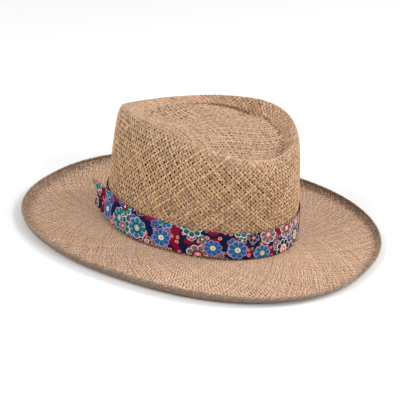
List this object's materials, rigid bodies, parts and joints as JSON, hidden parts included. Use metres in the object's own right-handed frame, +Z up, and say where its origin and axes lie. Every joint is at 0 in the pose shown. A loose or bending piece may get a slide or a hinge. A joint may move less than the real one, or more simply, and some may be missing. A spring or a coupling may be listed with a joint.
{
  "type": "straw hat",
  "caption": "Wide-brimmed straw hat with a teardrop crown, a turned-up brim edge and a printed cloth band with a loose swallow-tailed end.",
  "frame": {"origin": "on the surface the hat rests on, under the middle of the brim", "axes": "+Z up, the front of the hat towards -Y, the wearer's left towards +X"},
  "size_m": [0.309, 0.3662, 0.1188],
  "materials": {
    "open_weave_straw": "natural straw in an open plain weave, matt with a faint sheen",
    "close_weave_straw": "natural straw in a close plain weave, matt",
    "printed_cloth": "matt woven cotton with a printed pattern in many colours"
  },
  "bodies": {
    "root": {"crown": "open_weave_straw", "brim": "close_weave_straw", "hatband": "printed_cloth", "hatband_tail": "printed_cloth"}
  },
  "joints": []
}
